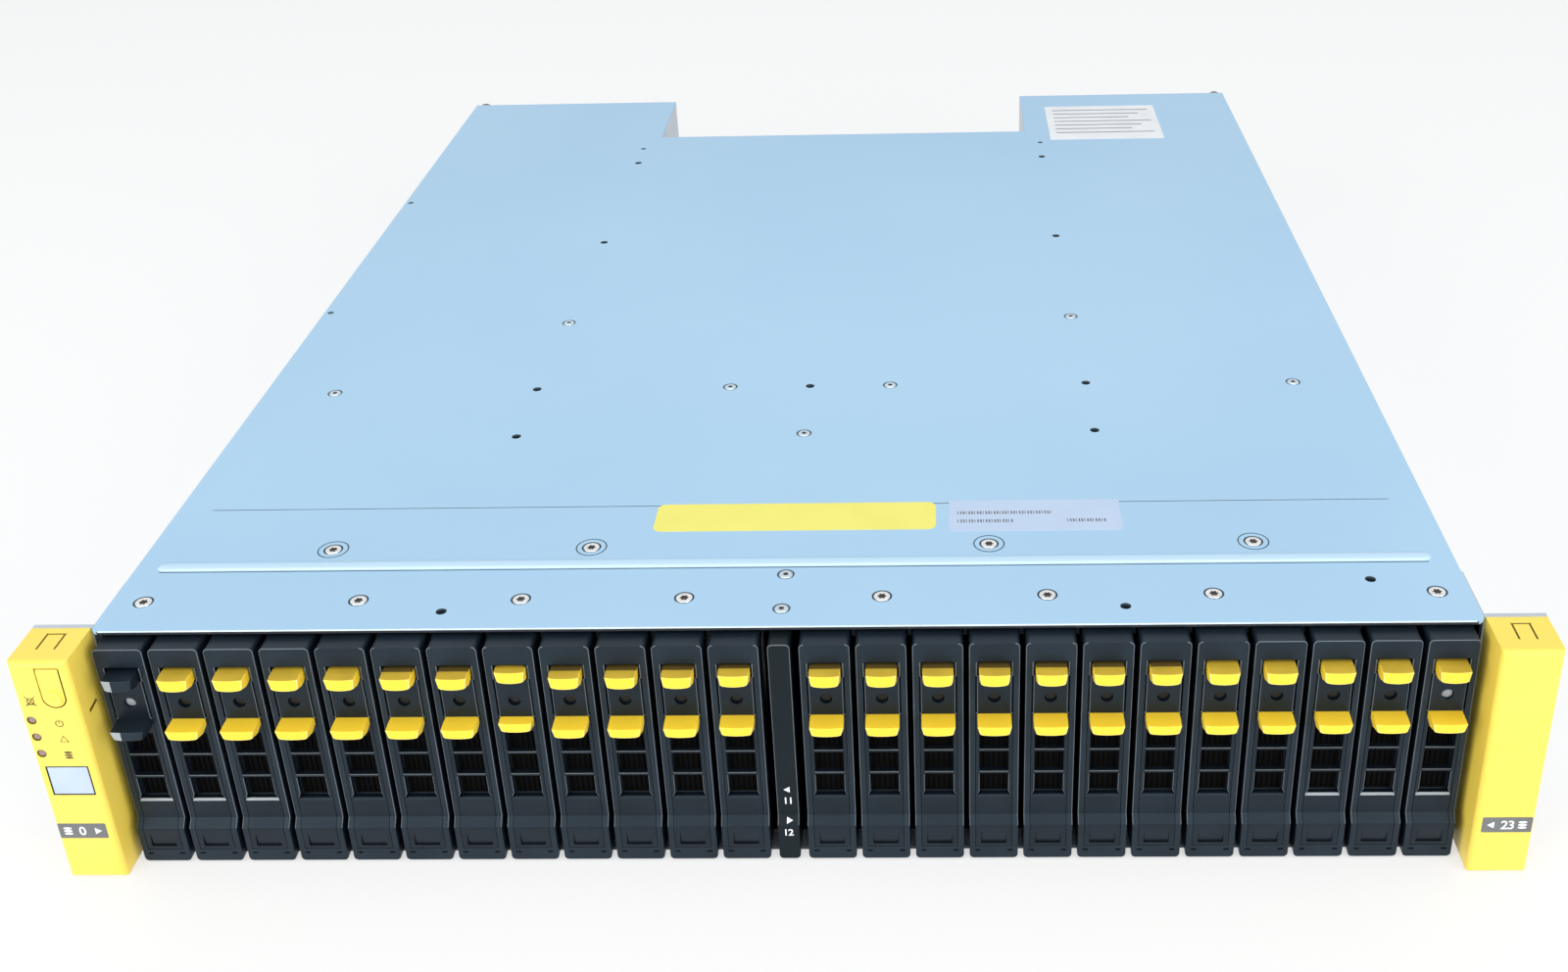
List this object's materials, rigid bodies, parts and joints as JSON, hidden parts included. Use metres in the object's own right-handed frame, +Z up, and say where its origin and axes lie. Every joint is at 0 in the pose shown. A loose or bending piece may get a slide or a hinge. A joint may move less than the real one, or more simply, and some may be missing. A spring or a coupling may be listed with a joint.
{
  "type": "disk shelf enclosure",
  "caption": "Low rack-mount disk shelf: steel chassis, upright drive carriers with latching levers across the front, capped ears, and slide-out power and input-output modules behind.",
  "frame": {"origin": "on the underside, midway between the ears, in the plane of the ears' rear faces, which seat on the rack posts", "axes": "+Y to the rear along the depth, +X to the right across the width, +Z up"},
  "size_m": [0.4826, 0.6059, 0.0885],
  "materials": {
    "zinc_steel": "zinc plated, satin",
    "cover_steel": "pale blue-grey satin",
    "screw_steel": "bright zinc",
    "black_plastic": "satin moulded",
    "board_green": "solder mask",
    "yellow_plastic": "satin moulded"
  },
  "bodies": {
    "chassis": {"chassis_tray": "zinc_steel", "top_cover": "cover_steel", "cover_screws": "screw_steel", "drive_cage": "black_plastic", "midplane_board": "board_green", "end_cap_left": "yellow_plastic", "end_cap_right": "yellow_plastic"},
    "mute_button": {"mute_button": "yellow_plastic"},
    "power_module_left": {"power_module_left": "zinc_steel"},
    "power_module_right": {"power_module_right": "zinc_steel"},
    "io_module_lower": {"io_module_lower": "zinc_steel"},
    "io_module_upper": {"io_module_upper": "zinc_steel"},
    "carrier_00": {"carrier_00": "black_plastic"},
    "lever_00": {"lever_00": "black_plastic"},
    "carrier_01": {"carrier_01": "black_plastic"},
    "lever_01": {"lever_01": "black_plastic"},
    "carrier_02": {"carrier_02": "black_plastic"},
    "lever_02": {"lever_02": "black_plastic"},
    "carrier_03": {"carrier_03": "black_plastic"},
    "lever_03": {"lever_03": "black_plastic"},
    "carrier_04": {"carrier_04": "black_plastic"},
    "lever_04": {"lever_04": "black_plastic"},
    "carrier_05": {"carrier_05": "black_plastic"},
    "lever_05": {"lever_05": "black_plastic"},
    "carrier_06": {"carrier_06": "black_plastic"},
    "lever_06": {"lever_06": "black_plastic"},
    "carrier_07": {"carrier_07": "black_plastic"},
    "lever_07": {"lever_07": "black_plastic"},
    "carrier_08": {"carrier_08": "black_plastic"},
    "lever_08": {"lever_08": "black_plastic"},
    "carrier_09": {"carrier_09": "black_plastic"},
    "lever_09": {"lever_09": "black_plastic"},
    "carrier_10": {"carrier_10": "black_plastic"},
    "lever_10": {"lever_10": "black_plastic"},
    "carrier_11": {"carrier_11": "black_plastic"},
    "lever_11": {"lever_11": "black_plastic"},
    "carrier_12": {"carrier_12": "black_plastic"},
    "lever_12": {"lever_12": "black_plastic"},
    "carrier_13": {"carrier_13": "black_plastic"},
    "lever_13": {"lever_13": "black_plastic"},
    "carrier_14": {"carrier_14": "black_plastic"},
    "lever_14": {"lever_14": "black_plastic"},
    "carrier_15": {"carrier_15": "black_plastic"},
    "lever_15": {"lever_15": "black_plastic"},
    "carrier_16": {"carrier_16": "black_plastic"},
    "lever_16": {"lever_16": "black_plastic"},
    "carrier_17": {"carrier_17": "black_plastic"},
    "lever_17": {"lever_17": "black_plastic"},
    "carrier_18": {"carrier_18": "black_plastic"},
    "lever_18": {"lever_18": "black_plastic"},
    "carrier_19": {"carrier_19": "black_plastic"},
    "lever_19": {"lever_19": "black_plastic"},
    "carrier_20": {"carrier_20": "black_plastic"},
    "lever_20": {"lever_20": "black_plastic"},
    "carrier_21": {"carrier_21": "black_plastic"},
    "lever_21": {"lever_21": "black_plastic"},
    "carrier_22": {"carrier_22": "black_plastic"},
    "lever_22": {"lever_22": "black_plastic"},
    "carrier_23": {"carrier_23": "black_plastic"},
    "lever_23": {"lever_23": "black_plastic"}
  },
  "joints": [
    {"name": "mute_button_press", "type": "hinge", "parent": "chassis", "child": "mute_button", "pos_m": [-0.2288, -0.0202, 0.0844], "axis": [1, 0, 0], "range_deg": [0, 6], "stiffness_Nm_per_rad": 0.15},
    {"name": "power_module_left_slide", "type": "slide", "parent": "chassis", "child": "power_module_left", "axis": [0, 1, 0], "range_m": [0, 0.392]},
    {"name": "power_module_right_slide", "type": "slide", "parent": "chassis", "child": "power_module_right", "axis": [0, 1, 0], "range_m": [0, 0.392]},
    {"name": "io_module_lower_slide", "type": "slide", "parent": "chassis", "child": "io_module_lower", "axis": [0, 1, 0], "range_m": [0, 0.328]},
    {"name": "io_module_upper_slide", "type": "slide", "parent": "chassis", "child": "io_module_upper", "axis": [0, 1, 0], "range_m": [0, 0.328]},
    {"name": "carrier_00_slide", "type": "slide", "parent": "chassis", "child": "carrier_00", "axis": [0, -1, 0], "range_m": [0, 0.15]},
    {"name": "lever_00_hinge", "type": "hinge", "parent": "carrier_00", "child": "lever_00", "pos_m": [-0.2107, -0.012, 0.0064], "axis": [1, 0, 0], "range_deg": [0, 50]},
    {"name": "carrier_01_slide", "type": "slide", "parent": "chassis", "child": "carrier_01", "axis": [0, -1, 0], "range_m": [0, 0.15]},
    {"name": "lever_01_hinge", "type": "hinge", "parent": "carrier_01", "child": "lever_01", "pos_m": [-0.19285, -0.012, 0.0064], "axis": [1, 0, 0], "range_deg": [0, 50]},
    {"name": "carrier_02_slide", "type": "slide", "parent": "chassis", "child": "carrier_02", "axis": [0, -1, 0], "range_m": [0, 0.15]},
    {"name": "lever_02_hinge", "type": "hinge", "parent": "carrier_02", "child": "lever_02", "pos_m": [-0.175, -0.012, 0.0064], "axis": [1, 0, 0], "range_deg": [0, 50]},
    {"name": "carrier_03_slide", "type": "slide", "parent": "chassis", "child": "carrier_03", "axis": [0, -1, 0], "range_m": [0, 0.15]},
    {"name": "lever_03_hinge", "type": "hinge", "parent": "carrier_03", "child": "lever_03", "pos_m": [-0.15715, -0.012, 0.0064], "axis": [1, 0, 0], "range_deg": [0, 50]},
    {"name": "carrier_04_slide", "type": "slide", "parent": "chassis", "child": "carrier_04", "axis": [0, -1, 0], "range_m": [0, 0.15]},
    {"name": "lever_04_hinge", "type": "hinge", "parent": "carrier_04", "child": "lever_04", "pos_m": [-0.1393, -0.012, 0.0064], "axis": [1, 0, 0], "range_deg": [0, 50]},
    {"name": "carrier_05_slide", "type": "slide", "parent": "chassis", "child": "carrier_05", "axis": [0, -1, 0], "range_m": [0, 0.15]},
    {"name": "lever_05_hinge", "type": "hinge", "parent": "carrier_05", "child": "lever_05", "pos_m": [-0.12145, -0.012, 0.0064], "axis": [1, 0, 0], "range_deg": [0, 50]},
    {"name": "carrier_06_slide", "type": "slide", "parent": "chassis", "child": "carrier_06", "axis": [0, -1, 0], "range_m": [0, 0.15]},
    {"name": "lever_06_hinge", "type": "hinge", "parent": "carrier_06", "child": "lever_06", "pos_m": [-0.1036, -0.012, 0.0064], "axis": [1, 0, 0], "range_deg": [0, 50]},
    {"name": "carrier_07_slide", "type": "slide", "parent": "chassis", "child": "carrier_07", "axis": [0, -1, 0], "range_m": [0, 0.15]},
    {"name": "lever_07_hinge", "type": "hinge", "parent": "carrier_07", "child": "lever_07", "pos_m": [-0.08575, -0.012, 0.0064], "axis": [1, 0, 0], "range_deg": [0, 50]},
    {"name": "carrier_08_slide", "type": "slide", "parent": "chassis", "child": "carrier_08", "axis": [0, -1, 0], "range_m": [0, 0.15]},
    {"name": "lever_08_hinge", "type": "hinge", "parent": "carrier_08", "child": "lever_08", "pos_m": [-0.0679, -0.012, 0.0064], "axis": [1, 0, 0], "range_deg": [0, 50]},
    {"name": "carrier_09_slide", "type": "slide", "parent": "chassis", "child": "carrier_09", "axis": [0, -1, 0], "range_m": [0, 0.15]},
    {"name": "lever_09_hinge", "type": "hinge", "parent": "carrier_09", "child": "lever_09", "pos_m": [-0.05005, -0.012, 0.0064], "axis": [1, 0, 0], "range_deg": [0, 50]},
    {"name": "carrier_10_slide", "type": "slide", "parent": "chassis", "child": "carrier_10", "axis": [0, -1, 0], "range_m": [0, 0.15]},
    {"name": "lever_10_hinge", "type": "hinge", "parent": "carrier_10", "child": "lever_10", "pos_m": [-0.0322, -0.012, 0.0064], "axis": [1, 0, 0], "range_deg": [0, 50]},
    {"name": "carrier_11_slide", "type": "slide", "parent": "chassis", "child": "carrier_11", "axis": [0, -1, 0], "range_m": [0, 0.15]},
    {"name": "lever_11_hinge", "type": "hinge", "parent": "carrier_11", "child": "lever_11", "pos_m": [-0.01435, -0.012, 0.0064], "axis": [1, 0, 0], "range_deg": [0, 50]},
    {"name": "carrier_12_slide", "type": "slide", "parent": "chassis", "child": "carrier_12", "axis": [0, -1, 0], "range_m": [0, 0.15]},
    {"name": "lever_12_hinge", "type": "hinge", "parent": "carrier_12", "child": "lever_12", "pos_m": [0.01435, -0.012, 0.0064], "axis": [1, 0, 0], "range_deg": [0, 50]},
    {"name": "carrier_13_slide", "type": "slide", "parent": "chassis", "child": "carrier_13", "axis": [0, -1, 0], "range_m": [0, 0.15]},
    {"name": "lever_13_hinge", "type": "hinge", "parent": "carrier_13", "child": "lever_13", "pos_m": [0.0322, -0.012, 0.0064], "axis": [1, 0, 0], "range_deg": [0, 50]},
    {"name": "carrier_14_slide", "type": "slide", "parent": "chassis", "child": "carrier_14", "axis": [0, -1, 0], "range_m": [0, 0.15]},
    {"name": "lever_14_hinge", "type": "hinge", "parent": "carrier_14", "child": "lever_14", "pos_m": [0.05005, -0.012, 0.0064], "axis": [1, 0, 0], "range_deg": [0, 50]},
    {"name": "carrier_15_slide", "type": "slide", "parent": "chassis", "child": "carrier_15", "axis": [0, -1, 0], "range_m": [0, 0.15]},
    {"name": "lever_15_hinge", "type": "hinge", "parent": "carrier_15", "child": "lever_15", "pos_m": [0.0679, -0.012, 0.0064], "axis": [1, 0, 0], "range_deg": [0, 50]},
    {"name": "carrier_16_slide", "type": "slide", "parent": "chassis", "child": "carrier_16", "axis": [0, -1, 0], "range_m": [0, 0.15]},
    {"name": "lever_16_hinge", "type": "hinge", "parent": "carrier_16", "child": "lever_16", "pos_m": [0.08575, -0.012, 0.0064], "axis": [1, 0, 0], "range_deg": [0, 50]},
    {"name": "carrier_17_slide", "type": "slide", "parent": "chassis", "child": "carrier_17", "axis": [0, -1, 0], "range_m": [0, 0.15]},
    {"name": "lever_17_hinge", "type": "hinge", "parent": "carrier_17", "child": "lever_17", "pos_m": [0.1036, -0.012, 0.0064], "axis": [1, 0, 0], "range_deg": [0, 50]},
    {"name": "carrier_18_slide", "type": "slide", "parent": "chassis", "child": "carrier_18", "axis": [0, -1, 0], "range_m": [0, 0.15]},
    {"name": "lever_18_hinge", "type": "hinge", "parent": "carrier_18", "child": "lever_18", "pos_m": [0.12145, -0.012, 0.0064], "axis": [1, 0, 0], "range_deg": [0, 50]},
    {"name": "carrier_19_slide", "type": "slide", "parent": "chassis", "child": "carrier_19", "axis": [0, -1, 0], "range_m": [0, 0.15]},
    {"name": "lever_19_hinge", "type": "hinge", "parent": "carrier_19", "child": "lever_19", "pos_m": [0.1393, -0.012, 0.0064], "axis": [1, 0, 0], "range_deg": [0, 50]},
    {"name": "carrier_20_slide", "type": "slide", "parent": "chassis", "child": "carrier_20", "axis": [0, -1, 0], "range_m": [0, 0.15]},
    {"name": "lever_20_hinge", "type": "hinge", "parent": "carrier_20", "child": "lever_20", "pos_m": [0.15715, -0.012, 0.0064], "axis": [1, 0, 0], "range_deg": [0, 50]},
    {"name": "carrier_21_slide", "type": "slide", "parent": "chassis", "child": "carrier_21", "axis": [0, -1, 0], "range_m": [0, 0.15]},
    {"name": "lever_21_hinge", "type": "hinge", "parent": "carrier_21", "child": "lever_21", "pos_m": [0.175, -0.012, 0.0064], "axis": [1, 0, 0], "range_deg": [0, 50]},
    {"name": "carrier_22_slide", "type": "slide", "parent": "chassis", "child": "carrier_22", "axis": [0, -1, 0], "range_m": [0, 0.15]},
    {"name": "lever_22_hinge", "type": "hinge", "parent": "carrier_22", "child": "lever_22", "pos_m": [0.19285, -0.012, 0.0064], "axis": [1, 0, 0], "range_deg": [0, 50]},
    {"name": "carrier_23_slide", "type": "slide", "parent": "chassis", "child": "carrier_23", "axis": [0, -1, 0], "range_m": [0, 0.15]},
    {"name": "lever_23_hinge", "type": "hinge", "parent": "carrier_23", "child": "lever_23", "pos_m": [0.2107, -0.012, 0.0064], "axis": [1, 0, 0], "range_deg": [0, 50]}
  ]
}
